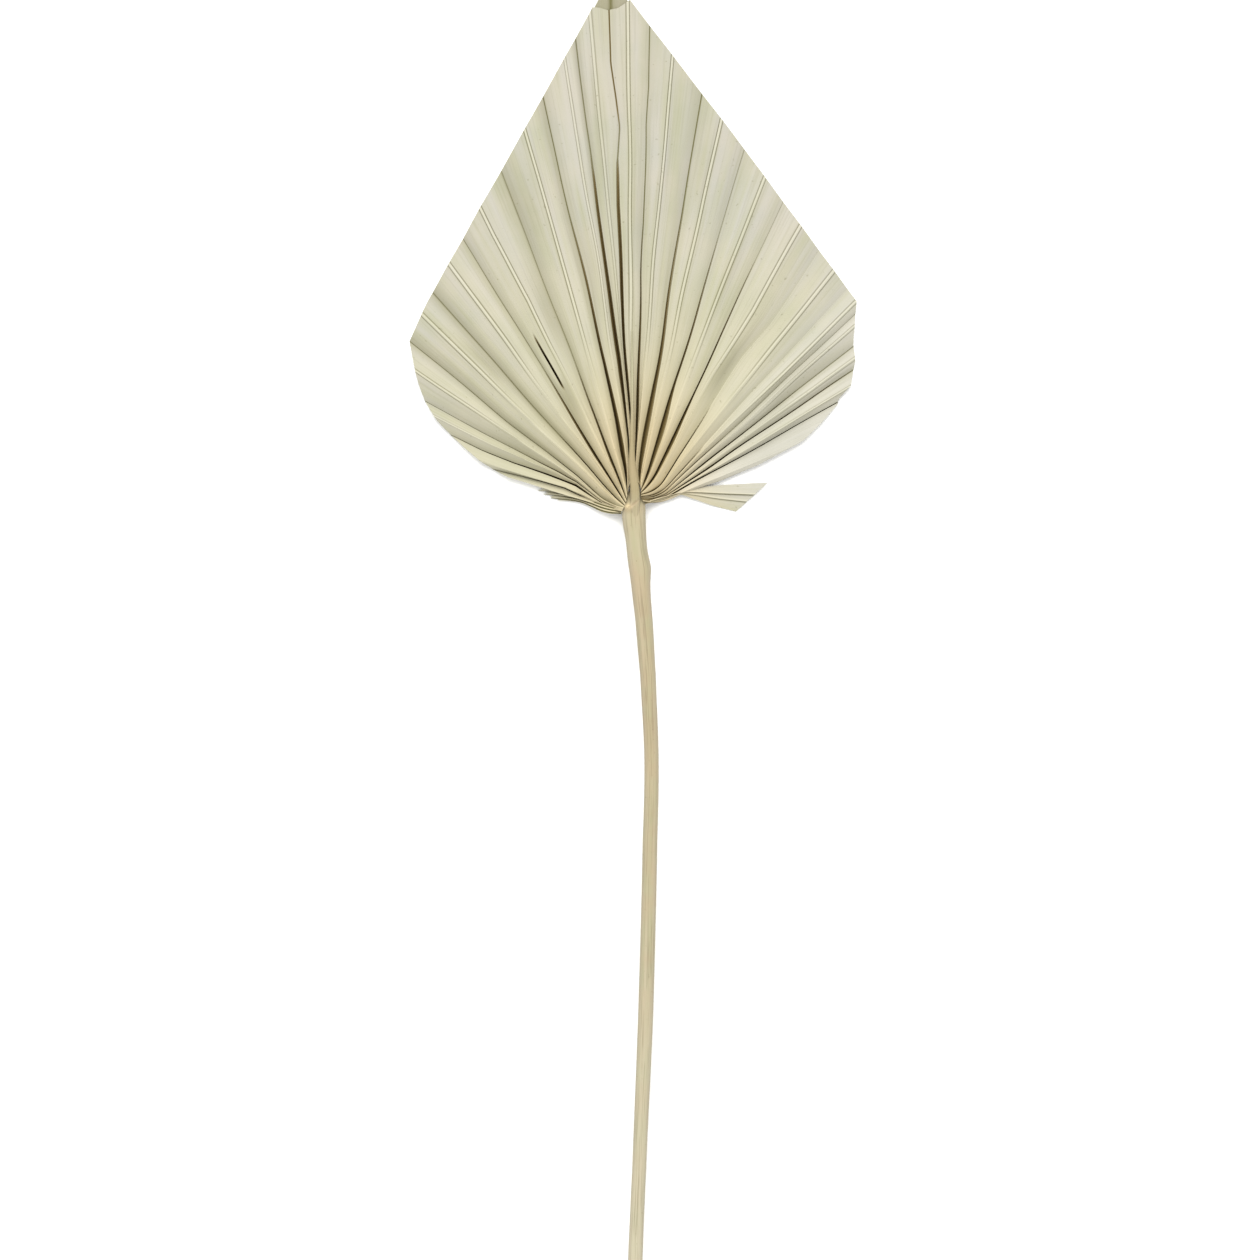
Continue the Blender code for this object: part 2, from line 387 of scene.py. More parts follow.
# the trimmed edge, from the lowest left pleat over the tip to the lowest right one
trimmedEdge = [
    (-36.0, 3.4), (-44.5, 6.4), (-54.0, 11.2), (-61.2, 15.6), (-70.8, 24.0), (-78.8, 32.0),
    (-83.6, 40.0), (-86.6, 48.0), (-89.8, 64.0), (-85.8, 72.4), (-82.4, 80.0), (-15.5, 197.3),
    (-13.0, 196.2), (-9.0, 195.2), (-5.5, 195.8), (-2.8, 197.7), (-1.2, 199.0), (42.0, 144.0),
    (89.8, 80.0), (88.4, 64.0), (89.2, 56.0), (87.4, 46.0), (82.0, 40.2), (83.0, 37.8),
    (76.6, 32.0), (68.4, 24.0), (54.4, 16.0), (36.0, 8.2), (24.0, 5.4),
]

# Folds that leave their straight line, by bearing at the edge: distance from the stem and the
# shift to the right.
bends = {
    -77.4: [(12.0, 0.0), (20.0, 0.8), (28.0, 1.8), (45.0, 0.8), (56.0, 0.0)],
    -75.6: [(12.0, 0.0), (20.0, 1.4), (28.0, 2.0), (45.0, 0.8), (60.0, 0.0)],
    -70.2: [(12.0, 0.0), (24.0, 2.2), (36.0, 1.6), (50.0, 0.3), (64.0, -0.3), (76.0, 0.0)],
    -67.0: [(12.0, 0.0), (24.0, 2.2), (32.0, 2.0), (45.0, 1.0), (60.0, 0.3), (80.0, 0.0)],
    -64.4: [(12.0, 0.0), (24.0, 2.0), (32.0, 2.0), (41.0, 1.4), (54.0, 0.9), (67.0, 0.4), (90.0, 0.0)],
    -59.2: [(12.0, 0.0), (24.0, 1.2), (36.0, 1.2), (60.0, 0.4), (90.0, 0.0)],
    -54.5: [(12.0, 0.0), (24.0, 0.5), (40.0, 0.4), (60.0, 0.0)],
    -27.5: [(70.0, 0.0), (90.0, 0.6), (120.0, -0.4), (150.0, 0.0)],
    -12.6: [(20.0, 0.0), (34.0, 0.5), (56.0, 1.0), (90.0, 0.7), (130.0, 0.0)],
    -8.8: [(8.0, 0.0), (25.0, 0.9), (56.0, 1.3), (90.0, 1.0), (124.0, 0.4), (150.0, 0.0)],
    -7.1: [(8.0, 0.0), (25.0, 1.4), (56.0, 1.7), (90.0, 0.9), (124.0, 0.5), (150.0, 0.0)],
    -5.1: [(8.0, 0.0), (25.0, 1.0), (56.0, 1.0), (90.0, 0.4), (124.0, 0.1), (150.0, 0.0)],
    -2.45: [(10.0, 0.2), (30.0, 0.3), (56.0, -0.3), (80.0, -0.6), (100.0, -0.7), (118.0, -0.9),
            (136.0, -0.5), (149.0, 1.0), (161.0, 0.0), (174.5, -1.5), (196.0, -1.2)],
    2.0: [(90.0, 0.0), (110.0, 0.5), (150.0, -0.3), (165.0, 0.4), (190.0, 0.0)],
    31.4: [(30.0, 0.0), (60.0, -0.8), (90.0, 0.3), (120.0, 0.0)],
    36.7: [(12.0, 0.0), (25.0, -0.7), (52.0, -1.2), (72.0, -1.2), (82.0, -0.2), (89.0, 0.5),
           (110.0, 0.3), (130.0, 0.0)],
}

# where each fold meets the edge, in degrees from the centre line: ridge and valley in turn
foldBearings = [
    -79.6, -77.4, -75.6, -70.2, -67.0, -64.4, -59.2, -54.5, -48.6, -43.9, -37.9, -33.0,
    -27.5, -21.8, -16.3, -12.6, -8.8, -7.1, -5.1, -2.45, -0.6, 2.0, 5.1, 9.6, 13.1, 17.6,
    22.2, 26.7, 31.4, 36.7, 41.2, 45.4, 48.3, 50.0, 51.8, 55.0, 57.4, 59.3, 62.4, 64.3, 71.0, 77.2,
]

# bearing at the edge and bearing on the gathering circle
gathering = [
    (-80.0, -108.0), (-64.0, -102.0), (-54.5, -97.0), (-44.0, -70.0), (-33.0, -50.0),
    (-22.0, -33.0), (-12.6, -14.0), (-2.5, -2.0), (2.3, 3.0), (9.6, 11.5), (17.6, 31.0),
    (26.7, 46.0), (36.7, 69.0), (46.8, 82.0), (55.0, 90.0), (64.0, 95.0), (77.0, 100.0),
]

# bearing at the edge and the place on the stem's flank where the fold starts
foldRoots = [
    (-80.0, -4.4, -4.6), (-64.0, -4.0, -3.6), (-54.0, -3.6, -3.0), (-44.0, -3.2, -2.4),
    (-33.0, -2.9, -1.4), (-22.0, -2.6, 0.2), (-12.6, -2.3, 2.0), (-7.0, -2.0, 3.6),
    (-2.5, -1.4, 7.0), (2.3, 1.9, 7.6), (9.6, 3.0, 5.4), (17.6, 3.2, 4.0), (26.7, 3.2, 3.0),
    (36.7, 3.2, 2.2), (46.8, 3.2, 1.3), (55.0, 3.4, 0.6), (64.0, 3.7, 0.1), (77.0, 4.2, -0.7),
]

# Valleys open into a dark gap near the stem. By bearing at the edge: how far out the gap
# reaches, its half width, how dark its painted shade is, then how the valley looks further out:
# the strength of its fine line (+ pale, - dark, the dark being painted shade in the crease), the
# half width of that line, and how much painted shade it lays on the leaf beside it.
gaps = {
    -77.4: (64.0, 0.80, 1.4, -0.9, 0.30, 0.3), -70.2: (84.0, 0.90, 1.4, -0.9, 0.30, 0.4),
    -64.4: (48.0, 0.42, 1.1, -0.9, 0.36, 0.3), -54.5: (40.0, 0.34, 0.7, -0.5, 0.40, 0.8),
    -43.9: (40.0, 0.40, 0.7, -0.4, 0.50, 0.9), -33.0: (64.0, 0.90, 1.1, -0.5, 0.40, 0.6),
    -21.8: (60.0, 0.90, 0.9, -0.4, 0.55, 0.6), -12.6: (120.0, 1.40, 1.3, -0.8, 0.60, 0.8),
    -7.1: (136.0, 1.15, 1.2, -0.6, 0.50, 0.9), -2.45: (136.0, 0.90, 1.2, -1.0, 0.40, 0.1),
    2.0: (108.0, 1.05, 1.0, -1.0, 0.60, 0.3), 9.6: (118.0, 1.40, 0.9, -1.0, 0.68, 0.5),
    17.6: (108.0, 0.90, 0.95, -0.5, 0.45, 0.4), 26.7: (106.0, 0.62, 1.1, -0.3, 0.40, 0.3),
    36.7: (50.0, 0.40, 0.7, 0.6, 0.30, 0.2), 45.4: (36.0, 0.32, 0.8, 0.3, 0.30, 0.2),
    50.0: (44.0, 0.30, 0.9, -0.4, 0.30, 0.3), 55.0: (78.0, 0.52, 1.3, -0.7, 0.45, 0.4),
    59.3: (100.0, 0.62, 1.4, -1.0, 0.55, 0.3), 64.3: (124.0, 0.62, 1.4, -1.0, 0.66, 0.2),
    77.2: (20.0, 0.25, 0.5, -0.3, 0.30, 0.2),
}

# how strongly each ridge shows its rib, its height against its neighbours, and where it
# gathers between its two valleys: 0 is on the inner one
ribs = {
    -79.6: (0.4, 0.9, 0.5), -75.6: (0.5, 0.9, 0.3), -67.0: (0.5, 1.0, 0.3),
    -59.2: (0.7, 1.1, 0.3), -48.6: (0.8, 1.1, 0.3), -37.9: (0.9, 1.0, 0.2),
    -27.5: (0.9, 0.9, 0.25), -16.3: (0.9, 0.9, 0.5), -8.8: (0.6, 0.9, 0.5),
    -5.1: (0.6, 1.0, 0.5), -0.6: (0.9, 1.0, 0.5), 5.1: (0.9, 0.9, 0.3),
    13.1: (0.9, 0.8, 0.4), 22.2: (0.8, 0.8, 0.3), 31.4: (0.8, 0.8, 0.2),
    41.2: (0.8, 0.8, 0.2), 48.3: (0.7, 0.9, 0.3), 51.8: (0.7, 1.5, 0.3),
    57.4: (0.5, 1.4, 0.3), 62.4: (0.5, 1.3, 0.4), 71.0: (0.1, 0.35, 0.5),
}

# soft darker patches: bearing, distance from the stem, half length, half width, strength
darkerPatches = [
    (-23.6, 84.0, 16.0, 1.6, 0.55), (33.6, 64.0, 13.0, 1.8, 0.5), (-20.0, 128.0, 20.0, 3.0, 0.2),
    (-5.6, 150.0, 30.0, 1.2, 0.25), (35.0, 86.0, 14.0, 1.0, 0.35), (22.5, 96.0, 20.0, 1.6, 0.2),
    (12.0, 140.0, 22.0, 3.0, 0.12), (-46.0, 80.0, 12.0, 1.4, 0.3), (-30.0, 48.0, 12.0, 1.6, 0.3),
    (1.0, 112.0, 16.0, 2.6, 0.16), (-11.0, 90.0, 24.0, 2.0, 0.2), (53.5, 84.0, 18.0, 1.6, 0.15),
]

# one facet split along its veins, from near to far
tear = {"fold": 11, "near": 52.0, "far": 78.0, "halfWidth": 0.5, "depth": 3.2}


def edgeRadius(bearing):
    # how far out the trimmed edge is
    ray = heading(bearing)
    reach = 0.0
    for (ax, ay), (bx, by) in zip(trimmedEdge, trimmedEdge[1:]):
        sx, sy = bx - ax, by - ay
        cross = ray.x * sy - ray.y * sx
        if abs(cross) < 1e-9:
            continue
        alongRay = (ax * sy - ay * sx) / cross
        alongSide = (ax * ray.y - ay * ray.x) / cross
        if -1e-6 <= alongSide <= 1.0 + 1e-6:
            reach = max(reach, alongRay)
    return reach


def isRidge(fold):
    return fold % 2 == 0


def foldGather():
    # bearings on the gathering circle, where each ridge keeps between its two valleys
    out = []
    for fold, bearing in enumerate(foldBearings):
        if not isRidge(fold) or fold == 0:
            out.append(readOff(gathering, bearing))
            continue
        inner, outer = foldBearings[fold - 1], foldBearings[fold + 1]
        if bearing < 0:
            inner, outer = outer, inner
        share = ribs[bearing][2]
        out.append(mix(readOff(gathering, inner), readOff(gathering, outer), share))
    return out


gatherBearings = foldGather()


def rootOf(bearing):
    return Vector((
        readOff([(b, x) for b, x, y in foldRoots], bearing),
        readOff([(b, y) for b, x, y in foldRoots], bearing),
    ))


def alongFold(across, row):
    # across counts folds, row runs from 0 on the stem to 1 on the trimmed edge
    fold = min(int(across), len(foldBearings) - 2)
    share = across - fold
    bearing = mix(foldBearings[fold], foldBearings[fold + 1], share)
    gather = mix(gatherBearings[fold], gatherBearings[fold + 1], share)
    turn = heading(gather) * bladeShape["gatherRadius"]
    end = heading(bearing) * edgeRadius(bearing)
    straight = end - turn
    start = turn + straight.normalized() * bladeShape["hookEnd"]
    hook = bladeShape["hookRows"] / bladeShape["rows"]
    if row < hook:
        t = row / hook
        root = rootOf(bearing)
        place = root * (1 - t) ** 2 + turn * 2 * t * (1 - t) + start * t * t
    else:
        t = ((row - hook) / (1.0 - hook)) ** bladeShape["rowCrowding"]
        place = start + (end - start) * t
    sway = bladeShape["sway"] * math.sin(math.pi * row) * wander(across * 0.7, place.length * 0.025)
    for side, weight in ((fold, 1.0 - share), (fold + 1, share)):
        bend = bends.get(foldBearings[side])
        if bend:
            sway += weight * readOff(bend, place.length)
    place = place + Vector((heading(bearing).y, -heading(bearing).x)) * sway
    return place, bearing


def lie(x, y):
    # height of the leaf's middle surface above the floor
    side = clamp(abs(x) / bladeShape["halfWidth"])
    up = max(0.0, y / bladeTipY)
    arch = bladeShape["arch"] * mix(bladeShape["archAtBottom"], 1.0, ease(-4.0, 40.0, y))
    return arch * (1 - side * side) + bladeShape["tipLift"] * up ** 3 * (1 - side)


def warmth(x, y):
    (midX, midY), (wide, high) = bladeShape["tanCentre"], bladeShape["tanSpread"]
    return math.exp(-(((x - midX) / wide) ** 2 + ((y - midY) / high) ** 2))


# the two long slits beside the middle rib, which close towards the stem
slits = [foldBearings.index(bearing) for bearing in (-7.1, -2.45)]


def isSteep(valley, ridge):
    # the steep walls all face the same way on each side of the turn
    low, high = foldBearings[valley], foldBearings[ridge]
    return high < low if low < bladeShape["leftTurn"] else high > low


def gapAt(valley, ridge, radius, width):
    # half width and strength of the gap, on the side of a valley that rises to this ridge
    bearing = foldBearings[valley]
    reach, halfWidth, _, _, lineHalf, _ = gaps[bearing]
    isSlit = valley in slits
    isLow = abs(bearing) > bladeShape["lowFolds"]
    opening = clamp((reach - radius) / (0.6 * reach)) ** (0.3 if isSlit else 0.8)
    if isLow:
        opening *= ease(9.0, 24.0, radius)
    half = mix(lineHalf, halfWidth, opening)
    if isSlit:
        half *= mix(0.25, 1.0, ease(12.0, 50.0, radius))
        return min(half, foldLook["slitGap"] * width), opening
    if not isSteep(valley, ridge):
        ofHalf, ofWidth = foldLook["gentleGap"]
        return min(ofHalf * half, ofWidth * width), opening
    share = mix(*foldLook["steepGap"], ease(8.0, 16.0, bearing))
    if 0.0 < bearing < 30.0 and opening > 0:
        # right of the stem the gap takes up most of the steep wall
        half = mix(half, share * width, 1.0 - ease(*foldLook["wallReach"], radius))
    return min(half, (foldLook["lowGap"] if isLow else share) * width), opening


def ribScale(width):
    return min(1.0, foldLook["ribWidth"] * width)


def clusterSteps(fold, other, radius, width):
    # distances from a fold, towards the other fold, of the columns that follow it
    if isRidge(fold):
        return [place * ribScale(width) for place, _ in foldLook["ribLift"]]
    half = gapAt(fold, other, radius, width)[0]
    return [0.0, 0.8 * half, half, half + min(0.45, 0.2 * width)]


def bladeColumns():
    # each column: the fold it starts from, what it follows from there to the next fold, and
    # its step
    columns = []
    for fold in range(len(foldBearings) - 1):
        columns += [(fold, "start", step) for step in range(4)]
        middleSteps = (-2, -1, 0, 1, 2) if fold == tear["fold"] else (0,)
        columns += [(fold, "middle", step) for step in middleSteps]
        columns += [(fold, "end", step) for step in (3, 2, 1)]
    columns.append((len(foldBearings) - 2, "end", 0))
    return columns


def acrossShare(column, radius, width):
    fold, follows, step = column
    low = clusterSteps(fold, fold + 1, radius, width)
    high = clusterSteps(fold + 1, fold, radius, width)
    if follows == "start":
        return low[step] / width
    if follows == "end":
        return 1.0 - high[step] / width
    middle = (low[3] / width + 1.0 - high[3] / width) / 2
    return middle + step * 0.55 * tear["halfWidth"] / width


def pleat(fold, share, radius, width):
    # height above the valleys, tone and gap shade at a share of the way to the next fold
    ridge = fold if isRidge(fold) else fold + 1
    valley = fold + 1 if isRidge(fold) else fold
    up = share if valley == fold else 1.0 - share
    before, after = max(ridge - 1, 0), min(ridge + 1, len(foldBearings) - 1)
    facet = (foldBearings[after] - foldBearings[before]) / (after - before)
    ribStrength, tall, _ = ribs[foldBearings[ridge]]
    depth = readOff(bladeShape["pleatDepth"], radius) * tall
    depth *= clamp(facet / bladeShape["fullFacet"]) ** 0.5
    depth *= 1.0 + 0.12 * wander(ridge * 3.1, radius * 0.012)
    depth = min(depth, bladeShape["steepest"] * width + 0.3)
    steep = isSteep(valley, ridge)
    if steep:
        height = up
    else:
        # the gentle side bulges near the stem
        height = 1.0 - (1.0 - up) ** mix(1.12, 1.0, ease(28.0, 95.0, radius))
    height *= depth
    tone = 0.0

    fromValley, fromRidge = up * width, (1.0 - up) * width
    _, _, dark, line, _, soft = gaps[foldBearings[valley]]
    half, opening = gapAt(valley, ridge, radius, width)
    gapShade = 0.0
    # painted shade down in the gap, darkest at its bottom
    if fromValley < half * 1.01:
        inside = max(0.0, 1.0 - fromValley / half)
        height -= foldLook["trench"] * opening * clamp(inside * 3.0)
        gapShade = dark * opening * clamp(inside * 5.0) * mix(foldLook["gapRim"], 1.0, inside ** 1.5)
        further = 1.0 - opening
        # painted shade in the split near the tip
        if valley == slits[1]:
            gapShade = max(gapShade, foldLook["tipSplit"] * inside * ease(146.0, 162.0, radius))
        # a dark valley line is painted shade in the crease, a pale one the crease's own colour
        tone += line * clamp(inside * 1.6) * further
        height += 0.15 * (1 if line > 0 else -1) * inside * further
    # painted highlight on the leaf's edge beside the gap
    if steep:
        tone += foldLook["litEdge"] * opening * clamp(1.0 - abs(fromValley - half) / 0.4)
    # painted shade on the leaf beside a valley
    shade = foldLook["valleyShade"] * soft * math.exp(-((fromValley / 1.5) ** 2))
    tone -= shade * (1.0 if steep else 1.3)

    rib = ribStrength * ease(*foldLook["ribReach"], radius)
    place = fromRidge / ribScale(width)
    height += rib * readOff(foldLook["ribLift"], place)
    # pale on the rib, painted shade in the grooves beside it
    tone += rib * readOff(foldLook["ribTone"], place)
    # painted shade in the pockets where the folds hook into the stem
    if foldBearings[valley] > foldLook["pocketShadeFrom"]:
        pocketShade = 1.0 - ease(*foldLook["pocketShadeReach"], radius)
        pocketShade *= math.exp(-((fromValley / 0.3) ** 2))
        gapShade = max(gapShade, foldLook["pocketShade"] * pocketShade)
        height -= 0.3 * pocketShade
    tone += bladeShape["facetTint"] * wander(fold * 1.9 + 0.5, 7.0)
    # painted highlight along a ridge's crest near the stem
    crestHighlight = 1.0 - ease(*foldLook["crestHighlightReach"], radius)
    tone += foldLook["crestHighlight"] * crestHighlight * math.exp(-((fromRidge / 0.26) ** 2))
    return height, tone, gapShade


def sheetBmesh(columns, rows):
    # a flat grid, and for each of its points the column and the share of the way up the rows
    bm = bmesh.new()
    names = ("across", "along", "tone", "gapShade", "under", "warm")
    layers = {k: bm.verts.layers.float.new(k) for k in names}
    bmesh.ops.create_grid(bm, x_segments=columns, y_segments=rows, size=1.0)
    places = []
    for vert in bm.verts:
        places.append((vert, round((vert.co.x + 1) / 2 * columns), (vert.co.y + 1) / 2))
    return bm, places, layers


def thickenDown(bm, layers, thickness):
    made = bmesh.ops.extrude_face_region(bm, geom=bm.faces[:])
    low = [item for item in made["geom"] if isinstance(item, bmesh.types.BMVert)]
    for vert in low:
        vert[layers["under"]] = 1.0
    bmesh.ops.translate(bm, verts=low, vec=(0.0, 0.0, -thickness))


def finishPiece(name, bm, materials, replaced=(), sharp=32.0):
    bmesh.ops.recalc_face_normals(bm, faces=bm.faces[:])
    bmesh.ops.transform(bm, matrix=placing, verts=bm.verts[:])
    mesh = bpy.data.meshes.new(name)
    bm.to_mesh(mesh)
    bm.free()
    piece = bpy.data.objects.new(name, mesh)
    bpy.context.scene.collection.objects.link(piece)
    for material in materials:
        mesh.materials.append(material)
    mesh.shade_smooth()
    mesh.set_sharp_from_angle(angle=math.radians(sharp))
    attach(piece, "root")
    if replaced:
        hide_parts(*replaced)


def darkerPatchAt(bearing, radius):
    shade = 0.0
    for angle, distance, halfLength, halfWidth, strength in darkerPatches:
        aside = math.radians(bearing - angle) * radius
        spot = ((radius - distance) / halfLength) ** 2 + (aside / halfWidth) ** 2
        shade += strength * math.exp(-spot)
    return shade


def makeBlade(finish):
    columns = bladeColumns()
    rows = bladeShape["rows"]
    bm, places, layers = sheetBmesh(len(columns) - 1, rows)
    foldPlaces = {}
    for row in range(rows + 1):
        for fold in range(len(foldBearings)):
            foldPlaces[row, fold] = alongFold(float(fold), row / rows)[0]
    for vert, number, row in places:
        fold, follows, step = columns[number]
        here, there = (foldPlaces[round(row * rows), k] for k in (fold, fold + 1))
        width = max((there - here).length, 0.05)
        radius = ((here + there) / 2).length
        share = clamp(acrossShare(columns[number], radius, width))
        place, bearing = alongFold(fold + share, row)
        height, tone, gapShade = pleat(fold, share, radius, width)
        z = lie(place.x, place.y) + height
        z += bladeShape["waviness"] * wander(place.x * 0.03, place.y * 0.03, 5.0)
        away = (place - rootOf(bearing)).length / bladeShape["rootSpread"]
        z = mix(z, bladeShape["rootTop"] + 0.35 * height, math.exp(-(away ** 2)))
        if follows == "middle" and fold == tear["fold"]:
            offset = abs(step) / 2
            opening = clamp((radius - tear["near"]) / 6) * clamp((tear["far"] - radius) / 12)
            z -= tear["depth"] * opening * (1 - offset)
            # painted shade where the facet is split open
            gapShade = max(gapShade, clamp(opening * (1 - offset) * 2))
            tone += 0.3 * opening * offset
        z = max(z + bladeShape["thickness"], bladeShape["thickness"] + bladeShape["clearance"])
        vert.co = (place.x, place.y, z)
        vert[layers["across"]] = bearing
        vert[layers["along"]] = radius
        vert[layers["tone"]] = tone - darkerPatchAt(bearing, radius)
        vert[layers["gapShade"]] = gapShade
        vert[layers["warm"]] = warmth(place.x, place.y)
    thickenDown(bm, layers, bladeShape["thickness"])
    finishPiece("leaf_blade", bm, [finish], ["blade"], 14.0)


# Each strip has its two edges from the root outwards, its folds as a share of the way across
# and a height, and its lines as a share and a strength: + pale painted highlight, - dark painted
# shade.
tornStrip = {
    "upper": [(4.1, -1.0), (8.7, 0.5), (18.5, 3.2), (24.2, 5.1), (37.6, 6.4), (54.2, 7.3)],
    "lower": [(4.1, -1.8), (8.7, -0.6), (18.0, 2.2), (23.6, 0.9), (32.0, -2.0), (41.4, -4.4)],
    "folds": [(0.0, 0.4), (0.42, 1.6), (0.47, 0.6), (0.66, 1.3), (0.7, 0.8), (1.0, 0.4)],
    "lines": [(0.44, -0.8), (0.68, -0.8), (0.4, 0.7), (0.64, 0.6), (0.56, -0.15)],
    "rootLift": 6.5,
    "ragged": 0.25,
    "bearings": (66.0, 38.0),        # where the finish takes its veins and its colours from
}

frayedStrip = {
    "upper": [(-4.6, -3.6), (-12.0, -1.2), (-24.0, 2.6), (-37.4, 4.8)],
    "lower": [(-4.6, -5.6), (-11.6, -4.9), (-21.0, -0.9), (-30.8, 0.2)],
    "folds": [(0.0, 1.3), (0.22, 0.2), (0.4, 1.7), (0.55, 0.2), (0.75, 1.5), (0.88, 0.3), (1.0, 0.9)],
    "lines": [(0.22, -1.5), (0.53, -1.6), (0.86, -1.4), (0.38, 1.0), (0.7, 0.9), (0.06, 0.6)],
    "rootLift": 6.5,
    "ragged": 4.2,
    "bearings": (-98.0, -80.0),
}


def makeStrip(name, shape, finish, replaced):
    columns, rows = 60, 64
    bm, places, layers = sheetBmesh(columns, rows)
    for vert, number, row in places:
        across = number / columns
        upper, lower = curveThrough(shape["upper"], row), curveThrough(shape["lower"], row)
        # the outer end is uneven
        rag = shape["ragged"] * wander(across * 9.0, 2.0) * ease(0.6, 1.0, row) / 30.0
        x = mix(upper[0], lower[0], across) * (1.0 + rag)
        y = mix(upper[1], lower[1], across)
        width = (Vector(upper) - Vector(lower)).length
        opening = 0.4 + 0.6 * row
        z = shape["rootLift"] * (1 - row) ** 2 + readOff(shape["folds"], across) * opening
        z += 0.4 * row * wander(x * 0.06, y * 0.06, 9.0)
        tone = 0.0
        # pale lines are painted highlight along the folds' crests, dark ones painted shade in their
        # hollows
        for line, strength in shape["lines"]:
            tone += strength * math.exp(-(((across - line) * width / 0.32) ** 2))
        vert.co = (x, y, max(z, 0.0) + bladeShape["thickness"])
        vert[layers["across"]] = mix(*shape["bearings"], across)
        vert[layers["along"]] = math.hypot(x, y) * 2.2
        vert[layers["warm"]] = warmth(x, y)
        vert[layers["tone"]] = tone
    thickenDown(bm, layers, bladeShape["thickness"])
    finishPiece(name, bm, [finish], replaced)


# the leaf under the tip, which shows past the trimmed edges
tipLayer = {
    "left": [(-19.5, 188.0), (-15.6, 196.0), (-12.0, 202.6), (-8.9, 208.8)],
    "right": [(4.0, 190.0), (0.2, 195.5), (-4.2, 201.8), (-7.9, 208.8)],
    "drop": 0.75,
    "foldX": -8.9,
    "foldHeight": 0.8,
}


def makeTipLayer(finish):
    columns, rows = 24, 24
    bm, places, layers = sheetBmesh(columns, rows)
    for vert, number, row in places:
        across = number / columns
        left, right = curveThrough(tipLayer["left"], row), curveThrough(tipLayer["right"], row)
        x, y = mix(left[0], right[0], across), mix(left[1], right[1], across)
        fromFold = abs(x - tipLayer["foldX"])
        z = lie(x, y) - tipLayer["drop"] + tipLayer["foldHeight"] * clamp(fromFold / 3.0)
        vert.co = (x, y, z + bladeShape["thickness"])
        vert[layers["across"]] = math.degrees(math.atan2(x, y))
        vert[layers["along"]] = y
        # painted shade: the layer lies in shade under the tip, darkest along its fold
        vert[layers["tone"]] = -0.35 - 0.65 * math.exp(-((fromFold / 0.8) ** 2))
        vert[layers["under"]] = 0.6
    thickenDown(bm, layers, bladeShape["thickness"])
    finishPiece("tip_under_layer", bm, [finish])


stemShape = {
    "sides": 44,
    # y, x of its middle, width, underside, top
    "stations": [
        (-316.0, 0.6, 5.8, 0.0, 4.5), (-266.0, 2.6, 5.6, 0.5, 4.9), (-202.0, 5.2, 6.0, 1.5, 6.2),
        (-137.0, 6.8, 5.8, 2.5, 7.0), (-104.0, 7.4, 5.7, 2.9, 7.3), (-70.0, 6.0, 6.2, 3.2, 7.9),
        (-56.0, 5.0, 6.7, 3.3, 8.3), (-48.0, 4.4, 6.9, 3.4, 8.6), (-40.0, 3.6, 7.2, 3.5, 8.9),
        (-32.0, 2.9, 7.7, 3.6, 9.1), (-24.0, 2.0, 8.2, 3.65, 9.2), (-16.0, 1.2, 8.3, 3.7, 9.3),
        (-8.0, 0.4, 9.3, 3.8, 9.2), (-4.0, 0.3, 9.3, 3.9, 8.8), (-1.0, 0.3, 8.8, 4.1, 8.2),
        (1.5, 0.3, 7.6, 4.6, 7.4), (3.5, 0.3, 5.0, 5.0, 6.8),
    ],
    "bands": [(-316.0, 120), (-40.0, 50), (-14.0, 60), (3.5, 0)],     # from y, how many rings
    # the rib that carries the stem on into the blade
    "costa": [
        (-18.0, 1.4, 1.6, 6.0, 8.2), (-12.0, 1.0, 2.4, 6.0, 8.7), (-7.0, 0.9, 3.4, 6.0, 9.15),
        (-3.0, 0.85, 4.0, 6.0, 9.5), (0.0, 0.85, 4.1, 6.0, 9.8), (4.0, 0.75, 4.0, 6.0, 10.0),
        (8.0, 0.35, 3.7, 6.2, 9.9), (12.0, -0.1, 3.3, 6.5, 9.6), (16.0, -0.4, 2.6, 6.8, 9.4),
        (24.0, -0.4, 1.8, 7.0, 9.2), (36.0, -0.3, 1.2, 7.2, 9.0), (52.0, -0.35, 0.9, 7.4, 8.8),
        (68.0, -0.5, 0.4, 8.0, 8.6),
    ],
    "costaBands": [(-18.0, 70), (12.0, 50), (68.0, 0)],
    "squareness": (0.82, 0.9),           # across and up, where 1 is an ellipse
    "cutSlant": 0.35,
    "cutRim": (0.35, -0.12),             # width and depth
    "knob": (-2.1, -2.8, 1.5, 2.1),      # x, y, spread, height
    "swelling": (-27.0, 4.5, 0.8),       # on the right flank: y, half length, height
    "seamDepth": 0.45,
}

